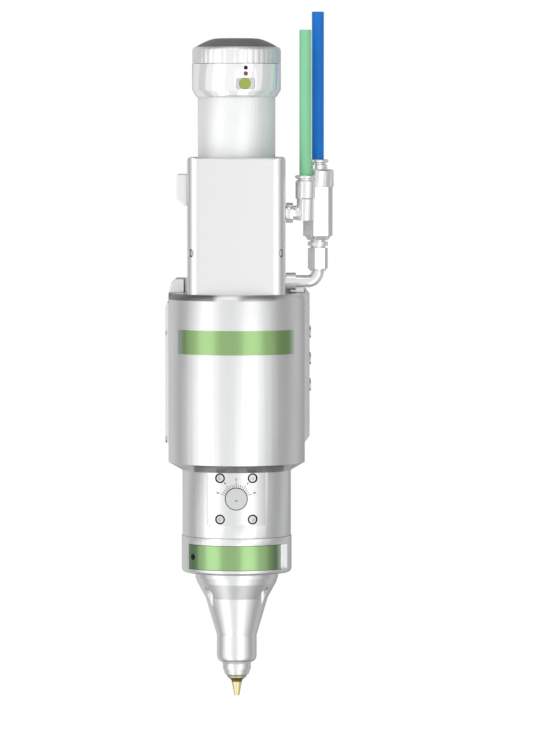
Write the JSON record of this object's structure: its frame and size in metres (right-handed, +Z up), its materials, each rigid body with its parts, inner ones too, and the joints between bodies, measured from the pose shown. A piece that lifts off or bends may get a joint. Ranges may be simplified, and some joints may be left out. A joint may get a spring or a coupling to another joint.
{
  "type": "laser cutting head",
  "caption": "Upright laser cutting head: fibre port, collimation housing, drum with a focus drive and dial, slide-out protective windows, gas fittings and a tapered nozzle",
  "frame": {"origin": "centre of the nozzle orifice's lower end, where the beam leaves", "axes": "+Z up along the beam axis towards the fibre port, -Y out of the front with the dial, +Y out of the mounting face, +X towards the hose fittings"},
  "size_m": [0.1126, 0.096, 0.4568],
  "materials": {
    "satin_metal": "satin, clear anodised",
    "pale_panel": "fine satin, pale",
    "bright_nickel": "bright nickel plate",
    "steel": "ground and brushed",
    "brass": "turned, bright",
    "white_ceramic": "smooth white",
    "green_anodised": "satin, green anodised",
    "optical_glass": "polished and coated",
    "black_rubber": "matt",
    "black_metal": "matt black",
    "board_green": "coated board",
    "button_green": "smooth moulded",
    "dot_red": "filled paint",
    "plug_grey": "smooth moulded",
    "collet_white": "moulded",
    "hose_green": "smooth drawn tube",
    "hose_blue": "smooth drawn tube"
  },
  "bodies": {
    "head": {"nozzle": "brass", "nozzle_holder": "bright_nickel", "insulator": "white_ceramic", "cone_body": "satin_metal", "cone_screws": "steel", "window_housing": "satin_metal", "neck_barrel": "satin_metal", "scale_plate": "pale_panel", "scale_screws": "steel", "guide_rods": "steel", "screw_bearing": "steel", "focus_motor": "black_metal", "main_housing": "satin_metal", "bay_plate": "steel", "shoulder_cap": "satin_metal", "curved_plate": "green_anodised", "left_cover": "satin_metal", "right_cover": "satin_metal", "left_cover_screws": "steel", "right_cover_screws": "steel", "drive_board": "board_green", "connector": "steel", "collimation_housing": "pale_panel", "lens_cell": "steel", "collimator_lens": "optical_glass", "lens_retainer": "black_metal", "collimator_tube": "satin_metal", "receiver_body": "satin_metal", "index_dot": "dot_red", "stop_screw": "black_metal"},
    "lock_ring": {"lock_ring": "satin_metal"},
    "release_button": {"release_button": "button_green"},
    "dust_plug": {"dust_plug": "plug_grey"},
    "upper_drawer": {"upper_drawer": "satin_metal", "upper_window": "optical_glass", "upper_seal": "black_rubber"},
    "centring_left": {"centring_screw_left": "steel"},
    "centring_right": {"centring_screw_right": "steel"},
    "focus": {"focus_carriage": "satin_metal", "focus_lens": "optical_glass", "focus_retainer": "black_metal", "focus_rack": "steel"},
    "lead_screw": {"lead_screw": "steel"},
    "dial": {"focus_dial": "steel", "dial_pinion": "steel"},
    "lower_drawer": {"lower_drawer": "green_anodised", "lower_window": "optical_glass", "lower_seal": "black_rubber", "drawer_lock_screw": "steel"},
    "green_fitting": {"green_elbow": "bright_nickel", "green_hose": "hose_green"},
    "green_collet": {"green_collet": "collet_white"},
    "blue_fitting": {"blue_elbow": "bright_nickel", "union_nut": "bright_nickel", "hex_body": "bright_nickel", "end_ring": "bright_nickel", "blue_hose": "hose_blue"},
    "blue_collet": {"blue_collet": "collet_white"}
  },
  "joints": [
    {"name": "lock_turn", "type": "hinge", "parent": "head", "child": "lock_ring", "pos_m": [0, 0, 0.4277], "axis": [0, 0, 1], "range_deg": [0, 45]},
    {"name": "button_press", "type": "slide", "parent": "head", "child": "release_button", "axis": [-0.2147, 0.9767, 0], "range_m": [0, 0.0012], "stiffness_N_per_m": 1500, "springref_m": -0.0015},
    {"name": "plug_lift", "type": "slide", "parent": "head", "child": "dust_plug", "axis": [0, 0, 1], "range_m": [0, 0.03]},
    {"name": "upper_drawer_slide", "type": "slide", "parent": "head", "child": "upper_drawer", "axis": [-1, 0, 0], "range_m": [0, 0.055]},
    {"name": "centring_left_turn", "type": "hinge", "parent": "head", "child": "centring_left", "pos_m": [0, 0, 0.2968], "axis": [-0.7071, -0.7071, 0], "range_deg": [-180, 180]},
    {"name": "centring_right_turn", "type": "hinge", "parent": "head", "child": "centring_right", "pos_m": [0, 0, 0.2968], "axis": [0.7071, -0.7071, 0], "range_deg": [-180, 180]},
    {"name": "focus_slide", "type": "slide", "parent": "head", "child": "focus", "axis": [0, 0, 1], "range_m": [-0.008, 0.009]},
    {"name": "lead_screw_turn", "type": "hinge", "parent": "head", "child": "lead_screw", "pos_m": [0, 0.0284, 0.2], "axis": [0, 0, 1], "range_deg": [-1450, 1630]},
    {"name": "dial_turn", "type": "hinge", "parent": "head", "child": "dial", "pos_m": [0, 0, 0.1344], "axis": [0, -1, 0], "range_deg": [-62, 70]},
    {"name": "lower_drawer_slide", "type": "slide", "parent": "head", "child": "lower_drawer", "axis": [0, -1, 0], "range_m": [0, 0.07]},
    {"name": "green_swivel", "type": "hinge", "parent": "head", "child": "green_fitting", "pos_m": [0.0325, -0.01, 0.3232], "axis": [1, 0, 0], "range_deg": [0, 60]},
    {"name": "green_release", "type": "slide", "parent": "green_fitting", "child": "green_collet", "axis": [0, 0, -1], "range_m": [0, 0.001], "stiffness_N_per_m": 1500, "springref_m": -0.0012},
    {"name": "blue_swivel", "type": "hinge", "parent": "head", "child": "blue_fitting", "pos_m": [0.0325, 0.007, 0.2771], "axis": [1, 0, 0], "range_deg": [-45, 0]},
    {"name": "blue_release", "type": "slide", "parent": "blue_fitting", "child": "blue_collet", "axis": [0, 0, -1], "range_m": [0, 0.001], "stiffness_N_per_m": 1500, "springref_m": -0.0012}
  ],
  "couplings": [
    {"joint": "lead_screw_turn", "follows": "focus_slide", "rad_per_m": 3141.6},
    {"joint": "dial_turn", "follows": "focus_slide", "rad_per_m": 133.33}
  ]
}
